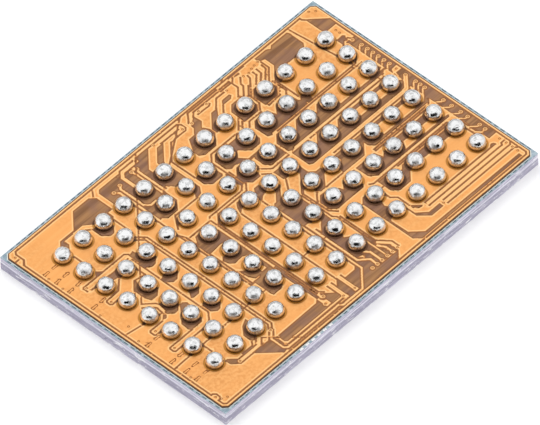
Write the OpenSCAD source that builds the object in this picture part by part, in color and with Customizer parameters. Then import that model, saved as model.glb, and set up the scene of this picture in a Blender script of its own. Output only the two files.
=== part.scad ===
/* [Die] */
// Length of the sawn silicon die
die_l = 6.19; // [6.1:0.01:6.6]
// Width of the sawn silicon die
die_w = 4.16; // [4.1:0.01:4.6]
// Thickness of the thinned silicon
die_t = 0.228; // [0.1:0.001:0.6]
// Thickness of the wiring layers grown on the silicon
wiring_t = 0.007; // [0.004:0.001:0.012]

/* [Saw street] */
// Bare street between the edge of the films and the saw cut
street_w = 0.045; // [0.035:0.001:0.08]
// Width of the seal ring that runs just outside the films
seal_w = 0.014; // [0.006:0.001:0.02]
// Thickness of the top metal: seal ring, street tiles, test pads and landing pads
top_metal_t = 0.003; // [0.001:0.001:0.003]
// Length of one fill tile in the street
tile_l = 0.07; // [0.03:0.005:0.09]
// Width of one fill tile in the street
tile_w = 0.012; // [0.006:0.001:0.016]
// Spacing of the fill tiles along the street
tile_pitch = 0.12; // [0.1:0.005:0.2]
// Side of one sawn test pad
test_pad_l = 0.06; // [0.03:0.005:0.09]
// Spacing of the sawn test pads
test_pad_pitch = 0.115; // [0.1:0.005:0.15]

/* [Films] */
// Thickness of the lower film, under the copper
lower_film_t = 0.006; // [0.004:0.001:0.01]
// Thickness of the upper film over the copper
upper_film_t = 0.008; // [0.005:0.001:0.012]
// Fall of the upper film's surface where no copper lies under it
film_step = 0.004; // [0.002:0.0005:0.005]
// Width that the raised film stands out past the copper's edge
film_cover = 0.003; // [0.001:0.0005:0.004]
// Corner cut of the films
film_chamfer = 0.064; // [0.03:0.002:0.1]

/* [Copper] */
// Thickness of the redistribution copper
copper_t = 0.005; // [0.003:0.001:0.008]
// Width lost on each edge when the copper is etched
etch_bias = 0.001; // [0.0005:0.0005:0.002]
// Smallest gap or width that is kept in the copper
min_feature = 0.01; // [0.006:0.001:0.012]
// Gap between a trace or plane and its neighbour
copper_gap = 0.022; // [0.016:0.001:0.03]
// Distance from the film's edge to the edge ring
ring_inset = 0.014; // [0.01:0.001:0.02]
// Width of the edge ring
ring_w = 0.03; // [0.02:0.001:0.04]
// Diameter of the copper pad under each ball
ball_pad_d = 0.275; // [0.25:0.005:0.3]
// Length of the wide dimples along the west edge
slot_l = 0.1; // [0.06:0.005:0.13]
// Diameter of the pad on each via
via_pad_d = 0.07; // [0.05:0.005:0.08]
// Diameter of each via through the lower film
via_d = 0.035; // [0.02:0.005:0.045]
// Diameter of the dimple in the upper film over each via
dimple_d = 0.03; // [0.015:0.005:0.04]
// Depth of that dimple
dimple_t = 0.002; // [0.001:0.0005:0.003]
// Side of the aluminium landing pad under each via
landing_l = 0.05; // [0.045:0.005:0.06]
// Width of each trace that leaves for the vias at the east edge
escape_w = 0.028; // [0.02:0.001:0.035]

/* [Balls] */
// Spacing of the solder balls
ball_pitch = 0.4; // [0.38:0.005:0.42]
// Largest diameter of a reflowed solder ball
ball_d = 0.257; // [0.25:0.001:0.27]
// Diameter of the under-bump metal, which the ball wets
ubm_d = 0.246; // [0.215:0.001:0.248]
// Thickness of the under-bump metal over the film
ubm_t = 0.003; // [0.002:0.001:0.005]
// Diameter of the film opening under each ball
opening_d = 0.215; // [0.15:0.005:0.22]
// Offset of the ball array from the die's centre, along the length
array_x = 0.05; // [-0.05:0.01:0.05]
// Offset of the ball array from the die's centre, along the width
array_y = 0.03; // [-0.03:0.01:0.03]

/* [Hidden] */
// Heights, from the back of the die up
top_metal_z = die_t + wiring_t - top_metal_t;
lower_film_z = die_t + wiring_t;
copper_z = lower_film_z + lower_film_t;
copper_top = copper_z + copper_t;
film_low_z = copper_top + upper_film_t - film_step;
film_top_z = copper_top + upper_film_t;
ball_seat_z = film_top_z + ubm_t;
ball_r = ball_d / 2;
ball_z = ball_seat_z + sqrt(pow(ball_r, 2) - pow(ubm_d / 2, 2));

// How much a cut corner shortens for each step that the outline moves inwards
chamfer_fall = 2 - sqrt(2);

// The films leave the street bare all round
film_l = die_l - 2 * street_w;
film_w = die_w - 2 * street_w;
ring_inner = ring_inset + ring_w;

cols = 14;
rows = 8;

// Sizes in ball pitches, for the layout below
gap_p = copper_gap / ball_pitch;
escape_p = escape_w / ball_pitch;

// Sides of the round pads, and of the small round openings
pad_sides = 16;
via_sides = 8;

silicon = [0.62, 0.61, 0.68];
oxide = [0.36, 0.38, 0.42];
aluminium = [0.86, 0.84, 0.78];
film_amber = [0.72, 0.42, 0.16];
film_gold = [0.95, 0.66, 0.32];
copper = [0.85, 0.5, 0.28];
nickel = [0.75, 0.72, 0.62];
solder = [0.9, 0.9, 0.92];

// The copper is drawn in ball pitches from the array's centre.
// Places in the plane where the copper is left out, in groups from the north-west corner on
VOIDS_NW = [
    [[-6.22, 3.87], [-6.03, 4.06], [-5.37, 4.06], [-4.76, 4.67], [-4, 4.67], [-3.81, 4.48], [-3.81, 3.75],
     [-4.02, 3.75], [-4.02, 3.5], [-4.55, 2.97], [-4.7, 2.97], [-4.93, 3.2], [-4.93, 3.6], [-5.2, 3.97],
     [-5.93, 3.97], [-5.93, 3.75], [-6.08, 3.6]],
    [[-3.6, 3.8], [-3.6, 4.55], [-3.48, 4.67], [-2.43, 4.67], [-2.64, 4.44], [-2.64, 3.72], [-2.2, 3.2],
     [-2.2, 2.95], [-2.4, 2.95], [-2.55, 3], [-2.75, 3], [-2.92, 3.17], [-2.92, 3.72], [-3.2, 3.8]],
    [[-2.47, 3.8], [-2.47, 4.36], [-2.33, 4.52], [-2.08, 4.52], [-2.08, 3.8]],
    [[-3.03, 2.92], [-3.03, 2.27], [-2.85, 2.06], [-2.38, 2.06], [-2.06, 2.4], [-2.06, 2.9], [-2.2, 2.98],
     [-2.4, 2.95], [-2.55, 2.82], [-2.85, 2.82], [-2.97, 2.95]],
    [[-1.94, 4.5], [-1.9, 4.55], [-1.65, 4.55], [-1.6, 4.72], [-1.02, 4.72], [-1.7, 4.04], [-1.7, 3.85],
     [-1.15, 3.85], [-1.12, 3.8], [-1.12, 2.22], [-1.3, 2], [-1.5, 1.95], [-1.55, 2], [-1.35, 2.25],
     [-1.35, 2.7], [-1.65, 2.85], [-1.74, 2.98], [-1.94, 3.2]],
    [[-1.3, 3.95], [-1.28, 4.03], [-0.8, 4.5], [-0.5, 4.5], [-1.1, 3.9], [-1.12, 3.85]],
    [[-6.4, 2.07], [-6.2, 2.24], [-6.03, 2.07]],
    [[-6.1, 1.8], [-5.6, 1.8], [-5.75, 1.55], [-5.9, 1.5], [-6.1, 1.55]],
    [[-4.92, 1.9], [-4.72, 1.95], [-4.7, 1.5], [-4.3, 1.25], [-4.6, 1], [-4.77, 0.98], [-4.92, 1.08]],
];
VOIDS_W = [
    [[-5.97, 0.72], [-5.7, 0.98], [-5.6, 0.95], [-5.8, 0.6], [-5.4, 0.3], [-5.15, 0.35], [-5.6, -0.03],
     [-5.88, -0.03], [-5.97, 0.2]],
    [[-4.98, 0.38], [-4.85, 0.42], [-4.3, 0.4], [-4.3, 0.25], [-4.62, -0.02], [-4.8, -0.02], [-4.98, 0.15]],
    [[-5.95, -0.62], [-5.87, -0.5], [-5.87, -0.42], [-5.7, -0.25], [-5.4, -0.4], [-5.4, -0.8], [-5.62, -1],
     [-5.8, -1], [-5.98, -0.8]],
    [[-4.92, -0.95], [-4.7, -0.6], [-4.3, -0.7], [-4.6, -1], [-4.85, -1]],
    [[-6.3, -0.93], [-6.03, -0.7], [-6.03, -0.85], [-6.12, -0.93]],
    [[-5.98, -1.5], [-5.9, -1.42], [-5.5, -1], [-5.4, -0.87], [-5.27, -0.87], [-5.17, -0.97], [-5.17, -1.62],
     [-5.45, -1.93], [-5.93, -1.93], [-6, -1.83]],
    [[-4.92, -1.45], [-4.4, -1.3], [-4.2, -1.6], [-4.6, -1.98], [-4.75, -2], [-4.92, -1.85]],
    [[-4.97, -3.4], [-4.7, -3.1], [-4.4, -2.95], [-4.4, -3.5], [-4.75, -3.75], [-4.9, -3.8], [-4.98, -3.7]],
    [[-6.2, -3.72], [-6.1, -3.7], [-5.78, -4.03], [-5.75, -4.15], [-5.93, -4.2], [-6.18, -3.95]],
    [[-5.28, -4.22], [-5.2, -4.17], [-4.54, -4.17], [-4.54, -4.78], [-4.46, -4.9], [-4.6, -4.93]],
];
VOIDS_MID = [
    [[-3.08, 0.45], [-2.85, 0.8], [-2.4, 0.8], [-2.1, 0.45], [-2.1, -1.85], [-2.12, -2.5], [-2.3, -2.75],
     [-2.6, -2.92], [-2.97, -2.92], [-3, -2.8], [-3, -2.03], [-2.72, -2.03], [-2.55, -1.93], [-2.25, -1.93],
     [-2.25, -0.1], [-2.55, -0.05], [-3.08, -0.1]],
    [[-3.02, -0.65], [-2.9, -0.5], [-2.5, -0.85], [-2.25, -0.7], [-2.13, -0.7], [-2.13, -1.1], [-2.3, -1.05],
     [-2.45, -0.97], [-2.82, -1], [-2.95, -0.87]],
    [[-3, -1.3], [-2.85, -1.5], [-2.5, -1.85], [-2.45, -1.98], [-2.85, -1.97], [-2.97, -1.75]],
    [[-1.08, 0.35], [-0.97, 0.62], [-0.82, 0.8], [-0.4, 0.8], [-0.5, 0.6], [-0.75, 0.6]],
    [[-0.2, 0.2], [-0.15, 0.55], [0.05, 0.8], [0.25, 0.8], [0.15, 0.4], [0.0, 0.35]],
    [[-0.1, -0.3], [0, -0.18], [0.35, -0.2], [0.78, -0.75], [0.78, -2.05], [0.4, -2.2], [0.2, -2.6],
     [0.07, -2.6], [0.07, -2.3], [0.35, -2], [0.6, -1.8], [0.45, -1.8], [0.1, -1.62], [-0.03, -1.62],
     [-0.03, -3.95], [-0.1, -4]],
    [[0.07, -2.3], [0.5, -2.2], [0.78, -2.1], [0.8, -2.5], [0.55, -2.75], [0.45, -2.95], [0.8, -3.2],
     [0.78, -4.5], [0.3, -3.95], [0.07, -3.9]],
];
VOIDS_SOUTH = [
    [[-4.2, -4.27], [-2.31, -4.25], [-2.17, -4.12], [-2.17, -4.66], [-4.2, -4.66]],
    [[-1.95, -4.15], [-1.9, -4.05], [-1.5, -4.45], [-1.5, -4.65], [-1.95, -4.6]],
    [[-1.33, -4.3], [-1.1, -4.07], [-1.1, -4.85], [-1.33, -4.85]],
    [[-0.86, -4.2], [-0.35, -4.2], [-0.2, -4.06], [-0.2, -4.3], [-0.82, -4.92], [-0.86, -4.85]],
    [[-0.7, -4.98], [-0.1, -4.38], [-0.1, -3.95], [0, -4], [0.27, -4.3], [0.27, -4.68], [1.27, -4.7],
     [0.97, -4.98]],
    [[0.3, -3.9], [0.7, -3.6], [1, -3.6], [1.1, -3.95], [1.43, -4.3], [1.4, -4.65], [0.27, -4.65],
     [0.27, -4.3]],
    [[1.97, -2.42], [2.18, -2.22], [2.5, -2.22], [2.5, -2.7], [2.4, -3.02], [2.45, -3.1], [2.3, -3.4],
     [2.05, -3.65], [2.07, -4.4], [2.48, -4.82], [7.15, -4.82], [7.15, -4.95], [2.2, -4.95], [1.97, -4.72]],
    [[2.8, -3.65], [2.84, -3.65], [2.85, -4], [3.2, -4.33], [3.72, -4.33], [3.72, -4.5], [3.15, -4.5],
     [2.8, -4.12]],
    [[2.98, -3.65], [3.05, -3.7], [3.28, -3.95], [3.22, -3.98], [3.12, -3.96], [2.97, -3.8]],
    [[6.68, -3.93], [6.95, -3.93], [6.92, -3.86], [6.85, -3.82], [6.78, -3.84]],
];
VOIDS_NE = [
    [[-0.93, 2.6], [-0.93, 2.2], [-0.72, 1.98], [-0.25, 1.98], [-0.2, 2.03], [-0.2, 2.5], [-0.5, 2.6]],
    [[-0.12, 3.45], [0.2, 3.95], [0.9, 3.95], [1, 3.75], [1, 3.5], [0.6, 3.07], [0.05, 3.07], [-0.12, 3.2]],
    [[0.68, 4.38], [0.68, 4.17], [0.5, 4], [0.45, 3.9], [0.87, 3.9], [0.87, 4], [1.08, 4.2], [1.05, 4.5],
     [0.98, 4.5], [0.8, 4.38]],
    [[1.57, 4.2], [1.85, 4.2], [1.45, 3.75], [1.4, 3.5], [1.05, 3.45], [1.05, 3.68]],
    [[2.27, 4.32], [2.57, 4.32], [2.6, 4.25], [2.48, 4.15], [2.15, 4.15]],
    [[0.05, 2.6], [0.28, 2.83], [0.9, 2.85], [0.92, 2.4], [0.68, 2.15], [0.9, 1.86], [1.65, 1.86],
     [1.65, 1.75], [0.95, 1.75], [0.4, 2], [0.2, 1.97], [0.05, 2.12]],
    [[0.92, 2.8], [1.3, 2.8], [1.45, 2.95], [1.83, 2.75], [1.83, 2.2], [1.66, 2.03], [1.25, 2.03],
     [1.05, 2.25], [0.95, 2.37], [0.85, 2.4]],
    [[0.07, 1.62], [0.33, 1.88], [0.7, 1.9], [0.88, 1.7], [0.88, 1.35], [0.65, 1.2], [0.6, 1.02],
     [0.22, 1.02], [0.07, 1.2]],
    [[1.05, 1.7], [1.15, 1.8], [1.7, 1.8], [1.95, 1.6], [1.95, 1.07], [1.22, 1.07], [1.05, 1.28]],
    [[2.05, 3.72], [2.3, 3.95], [2.8, 3.95], [2.88, 3.3], [2.68, 3.08], [2.03, 3.08]],
    [[3.05, 3.62], [3.3, 3.87], [3.85, 3.87], [3.93, 3.35], [3.65, 3.07], [3.07, 3.07], [3.05, 3.2]],
    [[2.05, 2.62], [2.28, 2.86], [2.9, 2.86], [3, 2.5], [3.3, 2.82], [3.9, 2.82], [3.95, 2.4], [4.05, 2.3],
     [4.05, 2.05], [2.28, 2.05], [2.22, 1.98], [2.07, 2.05]],
    [[4.03, 2.35], [4.12, 2.45], [4.3, 2.4], [4.35, 2.1], [4.15, 2.07], [4, 2.15]],
    [[4.33, 4.6], [4.33, 4.77], [4.87, 4.77], [5.03, 4.67], [5.15, 4.77], [5.92, 4.77], [5.96, 4.7],
     [5.96, 4.03], [5.85, 3.9], [5.4, 3.8], [4.9, 3.8], [4.4, 3.4], [4.1, 3.4], [4.1, 3.62], [4.56, 4.08],
     [4.56, 4.5]],
    [[6.78, 4.72], [7.34, 4.15], [7.34, 3.8], [6.9, 3.8], [6.78, 3.95]],
    [[6.8, 3.27], [7.1, 3.27], [7.15, 3.2], [7.05, 3.05], [6.9, 3.0], [6.8, 2.95]],
];
VOIDS_EAST = [
    [[2.03, 1.6], [2.33, 1.9], [2.85, 1.9], [2.9, 1.5], [3.25, 1.85], [3.85, 1.9], [3.95, 1.53], [4.22, 1.8],
     [4.7, 1.8], [4.8, 1.21], [6.3, 1.21], [6.7, 1.25], [6.88, 1.42], [6.9, 1.3], [6.68, 1.07], [2.33, 1.07],
     [2.2, 1], [2.05, 1.1]],
    [[2.07, 0.93], [2.85, 0.93], [2.95, 0.58], [3.3, 0.93], [3.85, 0.93], [3.95, 0.55], [4.2, 0.8],
     [6.75, 0.8], [6.75, 0.66], [4.83, 0.66], [4.83, 0.32], [6.75, 0.32], [6.88, 0.45], [6.93, 0.4],
     [6.62, 0.07], [2.2, 0.07], [2.07, 0.18]],
    [[2.93, -0.22], [6.95, -0.22], [6.95, -0.36], [4.75, -0.36], [4.75, -0.83], [6.75, -0.83], [6.95, -0.65],
     [6.95, -0.78], [6.78, -0.95], [4.2, -0.95], [4.03, -0.75], [4.03, -0.55], [3.62, -0.97], [2.55, -0.97],
     [2.65, -0.8], [2.95, -0.5]],
    [[3, -1.15], [3.9, -1.15], [4, -1.5], [4.33, -1.22], [6.3, -1.22], [6.3, -1.5], [4.95, -1.52],
     [4.75, -1.83], [6.9, -1.83], [6.8, -1.93], [3.25, -1.93], [3.02, -1.7]],
    [[2.02, -1.5], [2.3, -1.2], [2.9, -1.15], [2.9, -1.5], [2.72, -1.65], [2.55, -1.92], [1.65, -1.92],
     [1.28, -1.93], [1.07, -1.72], [1.07, -1.3], [1.3, -1.08], [1.75, -1.1], [1.98, -1.35]],
    [[3.05, -2.13], [3.4, -2.12], [3.95, -2.4], [4.15, -2.22], [6.6, -2.22], [6.6, -2.52], [4.95, -2.55],
     [4.35, -2.38], [3.8, -2.93], [3.28, -2.93], [3.05, -2.7]],
    [[0.93, 0.8], [1.35, 0.8], [1.8, 0.6], [1.8, -0.03], [1.45, -0.03], [1.6, 0.15], [1.4, 0.4], [1.15, 0.3],
     [1.02, 0.35], [1.02, 0.7]],
    [[0.93, -0.55], [1.45, -0.03], [1.78, -0.03], [2, -0.24], [2.2, -0.24], [2.2, -0.42], [1.68, -0.97],
     [1.45, -0.97], [1.35, -0.8], [1.5, -0.5], [1.2, -0.42], [1, -0.62]],
    [[0.7, 0.22], [0.45, 0.17], [0, -0.28], [0.05, -0.35], [0.25, -0.26]],
    [[6.98, 2.95], [7.35, 2.95], [7.35, 1], [7.08, 0.98], [7.02, 0.9], [6.98, 0.55]],
    [[7.08, 0.76], [7.35, 0.76], [7.35, -3.6], [6.98, -3.6], [6.98, -3.3], [6.95, 0.3]],
];
// Gaps that part one piece of copper from the next
SPLITS = [
    [[-6.8, 1.8], [-6.87, 1.79], [-7.04, 1.85], [-7.04, 2], [-6.98, 2.06], [-5.02, 2.06], [-4.92, 1.95],
     [-4.92, 1.1]],
    [[-6.87, 1.79], [-6, 1.79]],
    [[-5.1, 1.85], [-5, 1.7], [-5, 0.2], [-5, -1.8], [-5.23, -2.06], [-5.4, -2.18], [-7, -2.18],
     [-7.04, -2.12], [-7.04, -1.97], [-7, -1.93], [-5.9, -1.93]],
    [[-6.5, 0.83], [-6.9, 0.83], [-6.95, 0.88], [-6.95, 1.03], [-6.9, 1.08], [-6.32, 1.1], [-5.85, 1.5]],
    [[-6.5, 0.83], [-6.1, 0.55], [-5.64, 1], [-5.2, 0.93], [-5.2, 1.4]],
    [[-6.5, -1.2], [-6.9, -1.2], [-6.95, -1.15], [-6.95, -0.98], [-6.9, -0.93], [-6.3, -0.93]],
    [[-6.21, 3.25], [-6.21, 2.9]],
    [[-6.19, -2.7], [-6.19, -3.1]],
    [[-4.12, 3.4], [-4.12, 2.7]],
    [[-3.19, 3.2], [-3.19, 1.9], [-3.2, 1.3], [-3.2, -1], [-3.17, -2.1]],
    [[-3.2, 1.3], [-3.08, 1.0], [-3.08, -2.1]],
    [[-3, 1.45], [-2.62, 1.95], [-1.5, 1.95]],
    [[-3, 0.92], [-2, 0.92], [-1.88, 1.05], [-0.3, 1.05], [-0.13, 1.2], [-0.13, 1.95]],
    [[-1.6, 0.92], [-0.2, 0.92], [0.02, 1.15], [0.02, 1.95]],
    [[-0.93, 3.7], [-0.93, 2.6]],
    [[-0.95, 3.68], [-0.3, 4.32], [0.42, 4.32], [0.5, 4.4], [0.5, 4.6], [0.4, 4.72], [-1.6, 4.72]],
    [[0.3, 4.53], [-0.6, 4.53]],
    [[1.2, 4.5], [1.75, 4.48], [1.85, 4.55]],
    [[0.7, 4.44], [1.02, 4.79], [2.46, 4.79]],
    [[1, 4.5], [1.18, 4.68], [2.38, 4.68], [2.5, 4.63], [3.02, 4.63]],
    [[2.5, 4.72], [3.02, 4.72]],
    [[-0.07, 1.2], [-0.07, 2.65], [0.2, 2.93], [1.4, 2.93]],
    [[0.78, 1.3], [1.05, 1], [1.12, 0.95], [1.95, 0.95]],
    [[0.68, 1.05], [0.93, 0.8]],
    [[1.85, 3.9], [2.25, 4.3]],
    [[1.8, 4.2], [2.15, 4.52], [2.55, 4.52]],
    [[2.69, 4], [3.01, 4.32], [3.01, 4.58]],
    [[2.85, 3.89], [3.18, 4.23], [3.19, 4.35], [3.41, 4.58]],
    [[2.95, 3.76], [3.32, 4.12]],
    [[3, 3.69], [3.15, 3.84], [3.59, 4.3], [3.62, 4.46]],
    [[3.51, 3.94], [3.85, 4.25], [3.85, 4.43]],
    [[3.67, 3.87], [4.01, 4.18], [4.03, 4.43]],
    [[3.8, 3.78], [4.26, 4.2], [4.29, 4.43]],
    [[3.88, 3.68], [4.37, 4.15], [4.37, 4.53]],
    [[3.03, 4.6], [3.2, 4.75], [3.5, 4.72]],
    [[3.05, 4.84], [3.85, 4.84]],
    [[4.08, 3.6], [4.08, 2.5]],
    [[4, 3.65], [4, 3], [3.87, 2.87]],
    [[3.95, 3.25], [3.72, 3.02], [3.1, 2.98]],
    [[3, 3.7], [2.98, 3.3], [2.75, 3.04]],
    [[2, 3.35], [1.6, 2.97]],
    [[2, 3.17], [1.77, 2.94]],
    [[2.75, 2.98], [2.15, 2.98], [1.95, 2.78]],
    [[4.1, 2.07], [6.45, 2.07], [6.8, 2.4]],
    [[2.45, 1.97], [6.62, 1.97], [6.95, 2.3]],
    [[2.95, 0.93], [6.6, 0.93], [6.98, 1.3]],
    [[3, -0.12], [6.85, -0.12]],
    [[4, -1.03], [6.75, -1.03], [7.05, -0.73]],
    [[4, -1.12], [6.7, -1.12], [6.95, -1.35]],
    [[2.75, -1.97], [2.9, -2.07], [6.55, -2.05], [6.9, -2.4]],
    [[4, -2.14], [6.6, -2.14]],
    [[1.7, -0.97], [2.55, -0.97]],
    [[1.35, -0.87], [0.99, -1.25]],
    [[0.97, -0.55], [0.99, -1.75], [1.2, -2.03]],
    [[0.88, -0.6], [0.88, -2], [0.98, -2.15], [0.98, -3.95], [1.2, -4.2]],
    [[1.12, 0.35], [0.78, -0.1]],
    [[-1.98, 0.9], [-1.98, -4]],
    [[-1.6, 0.92], [-1.89, 0.62], [-1.89, -3.95], [-1.75, -4.12]],
    [[-2.13, -2.3], [-2.13, -4.15]],
    [[-2.06, -2.1], [-2.06, -4.25], [-1.95, -4.35]],
    [[-1.07, 0.35], [-1.07, -4.9]],
    [[-0.19, 0.2], [-0.19, -4.06]],
    [[1.07, -2.2], [1.07, -3.95], [1.4, -4.28]],
    [[-5.6, -3.92], [-5.1, -3.93], [-4.95, -3.75]],
    [[2.8, -2.55], [2.8, -2.9], [2.98, -3.1], [2.98, -3.65]],
    [[3.4, -3.93], [6.95, -3.93]],
    [[3.4, -4.13], [7.05, -4.13], [7.1, -4.05], [7.32, -4.05]],
    [[3.9, -4.32], [7.25, -4.32], [7.33, -4.25]],
    [[3.9, -4.52], [7.25, -4.52], [7.33, -4.6]],
    [[6.81, -2.6], [6.81, -3.1]],
];
// Traces that run by themselves: width and route
TRACES = [
    [0.2, [[-5.5, 3.9], [-5.05, 3.9], [-4.7, 3.6]]],
    [0.14, [[-2.56, 3.6], [-2.56, 4.44], [-2.38, 4.62], [-1.75, 4.62]]],
    [0.1, [[-3.25, 4.2], [-3.12, 4.05], [-3.12, 2.2]]],
    [0.1, [[-2.87, 4.28], [-2.97, 4.15], [-2.97, 3.08], [-2.8, 2.9], [-2.55, 2.9], [-2.45, 2.75]]],
    [0.08, [[-2.17, 4.4], [-2.14, 4.2], [-2.14, 2.95]]],
    [0.1, [[-1.97, 4.35], [-2, 4.2], [-2, 3]]],
    [0.13, [[-5.87, -4.08], [-4.95, -4.08], [-4.7, -3.85]]],
    [0.07, [[-4.35, 2.35], [-4.13, 2.13], [-4.01, 1.98], [-4.01, -3.7], [-4.2, -3.92]]],
    [0.09, [[-4.15, -3.9], [-4.46, -4.2], [-4.46, -4.75], [-4.36, -4.86], [-1.87, -4.86], [-1.75, -4.97],
            [-0.8, -4.97], [-0.14, -4.32], [-0.14, -0.4]]],
    [0.08, [[-4.27, -4.3], [-4.27, -4.62], [-4.18, -4.71], [-1.46, -4.71]]],
    [0.12, [[-6.3, 0.05], [-5.97, -0.28], [-5.92, -0.4], [-5.97, -0.7]]],
    [0.1, [[0.02, -2], [0.02, -3.97], [0.34, -4.28], [0.34, -4.6]]],
    [0.1, [[0.42, -3.85], [0.57, -4.05], [0.57, -4.6]]],
    [0.07, [[0.84, -3.3], [0.84, -4.6]]],
    [0.1, [[0.93, -4], [1.08, -4.3], [1.08, -4.6]]],
    [0.12, [[1.02, -3.9], [1.33, -4.3], [1.33, -4.6]]],
    [0.15, [[-1.41, -4], [-1.41, -4.7]]],
    [0.15, [[-0.95, -4], [-0.95, -4.78]]],
    [0.08, [[6.8, 2.85], [6.95, 3], [7.1, 3], [7.17, 2.88]]],
    [0.16, [[6.6, 0], [6.78, 0.02], [7.22, 0.47]]],
    [0.08, [[6.85, -2.3], [6.87, -3.05], [7, -3.22], [7.2, -3.22]]],
];
// Traces that climb or fall at 45 degrees to the vias at the east edge: height of the via, then
// height of the channel that the trace comes from
ESCAPES = [
    [2.5, 2.02], [2.23, 1.92], [1.97, 1.7], [1.72, 1.5], [1.46, 1.25], [1.21, 1.0], [0, -0.17],
    [-0.21, -0.38], [-0.42, -0.72], [-1.28, -1.07], [-1.66, -1.4], [-2.08, -1.68], [-2.4, -1.98],
    [-2.95, -2.7],
];
// Where those vias stand, the flat run up to each, and the start of each trace in its channel
escape_x = 7.22;
escape_lead = 0.1;
escape_tail = 0.35;
// Vias in the open planes and at the ends of traces
VIAS = [
    [-6.95, 1.97], [-6.85, 0.93], [-6.8, -1.07], [-6.92, -2.05], [-3.25, 4.2], [-2.87, 4.28], [-2.17, 4.4],
    [-1.95, 4.35], [-1.72, 4.64], [-0.8, 4.66], [0.38, 4.42], [0.78, 4.38], [1.33, 4.58], [1.75, 4.6],
    [2.65, 4.5], [3.5, 4.52], [3.73, 4.48], [3.93, 4.55], [4.1, 4.58], [4.3, 4.6], [-5.87, -4.08],
    [-4.2, -3.92], [-4.27, -4.3], [-2.13, -4.5], [-1.93, -4.22], [-1.46, -4.71], [-0.95, -4.76],
    [0.1, -4.6], [0.34, -4.6], [0.57, -4.6], [0.84, -4.6], [1.08, -4.6], [1.33, -4.6], [3.83, -4.42],
    [7.17, 2.88], [7.2, 0.45], [7.2, 0.88], [7.2, -3.22], [7.2, -3.88], [7.22, -4.17], [7.22, -4.45],
    [7.22, -4.7],
];
// Small vias without a pad: along the west edge, and two at the east
SMALL_VIAS = [
    [-7.5, 3.2], [-7.5, 2.55], [-7.53, 0.8], [-7.25, -0.25], [-7.5, -0.95], [-7.5, -2.7], [-7.5, -3.35],
    [-7.5, -4.75], [-7.3, -4.85], [7.12, 3.42], [7.12, 3.6],
];
// Heights and places along the length of the wide dimples by the west edge
WEST_SLOTS = [3.42, 2.9, 2.3, 1.2, -1.3, -2.4, -3.05, -3.55];
WEST_SLOT_X = [-7.38, -6.97];
// Corner plates and lobes of the edge ring, its vias, and the gaps that break it
RING_PLATES = [
    [[6.72, 4.92], [7.4, 4.92], [7.4, 4.1], [6.78, 4.72], [6.72, 4.8]],
    [[-7.66, 4.92], [-7.36, 4.92], [-7.47, 4.78], [-7.47, 4.42], [-7.66, 4.22]],
    [[-7.66, -4.42], [-7.56, -4.42], [-7.49, -4.5], [-7.49, -4.62], [-7.56, -4.7], [-7.66, -4.7]],
];
RING_VIAS = [[-7.56, 4.7], [-7.57, -4.56], [7.12, 4.86], [7.3, 4.7]];
RING_SPLITS = [
    [[-7.2, 4.89], [-7.36, 4.87], [-7.44, 4.78], [-7.44, 4.42], [-7.62, 4.24]],
    [[-7.75, 4.55], [-7.44, 4.55]],
    [[2.7, 4.8], [2.98, 5.04]],
];

// ---- Shapes ----

// Outline of a strip along a route: its left side, then its right side back
function unit(v) = v / norm(v);
function turn(v) = [-v[1], v[0]];
function mitre(p, i) =
    let (
        a = i > 0 ? unit(p[i] - p[i - 1]) : unit(p[1] - p[0]),
        b = i < len(p) - 1 ? unit(p[i + 1] - p[i]) : a,
        n = unit(turn(a) + turn(b))
    ) n / (n * turn(a));
function strip(p, w) = concat(
    [for (i = [0 : len(p) - 1]) p[i] + mitre(p, i) * w / 2],
    [for (i = [len(p) - 1 : -1 : 0]) p[i] - mitre(p, i) * w / 2]
);
module strip_2d(p, w) polygon(strip(p, w));

// Route of an escape trace: out of its channel, across at 45 degrees, then flat to its via
function escape(e) =
    let (x = escape_x - escape_lead, run = abs(e[0] - e[1]))
    [[x - run - escape_tail, e[1]], [x - run, e[1]], [x, e[0]], [escape_x, e[0]]];

ESCAPE_VIAS = [for (e = ESCAPES) [escape_x, e[0]]];
ALL_VIAS = concat(VIAS, ESCAPE_VIAS, SMALL_VIAS, RING_VIAS);

// Puts what is drawn in ball pitches on the ball array
module on_array() translate([array_x, array_y]) scale(ball_pitch) children();

// Repeats at each ball place of one row, or of all rows
module at_row(row) {
    for (i = [0 : cols - 1])
        translate([
            array_x + (i - (cols - 1) / 2) * ball_pitch,
            array_y + ((rows - 1) / 2 - row) * ball_pitch
        ])
            children();
}
module at_balls() for (row = [0 : rows - 1]) at_row(row) children();
module at_slots() {
    for (x = WEST_SLOT_X)
        for (y = WEST_SLOTS)
            translate([array_x + x * ball_pitch, array_y + y * ball_pitch]) children();
}
module at_vias() {
    for (v = ALL_VIAS)
        translate([array_x + v[0] * ball_pitch, array_y + v[1] * ball_pitch]) children();
}

// Outline of the films with its cut corners, moved inwards by inset
module film_2d(inset) {
    x = film_l / 2 - inset;
    y = film_w / 2 - inset;
    c = film_chamfer - inset * chamfer_fall;
    polygon([
        [x, y - c], [x - c, y], [c - x, y], [-x, y - c],
        [-x, c - y], [c - x, -y], [x - c, -y], [x, c - y]
    ]);
}

module die_2d() square([die_l, die_w], center = true);

// ---- Top metal of the wiring layers ----

module seal_ring_2d() {
    difference() {
        film_2d(-seal_w);
        film_2d(0);
    }
}

street_mid = (street_w - seal_w) / 2;
tiles_x = floor((film_l / 2 - film_chamfer) / tile_pitch);
tiles_y = floor((film_w / 2 - film_chamfer) / tile_pitch);

module street_tiles_2d() {
    for (s = [-1, 1]) {
        for (i = [-tiles_x : tiles_x])
            if (s > 0 || abs(i * tile_pitch - test_pads_x) > test_pads_l / 2)
                translate([i * tile_pitch, s * (die_w / 2 - street_mid)])
                    square([tile_l, tile_w], center = true);
        for (i = [-tiles_y : tiles_y])
            translate([s * (die_l / 2 - street_mid), i * tile_pitch])
                square([tile_w, tile_l], center = true);
    }
}

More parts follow.
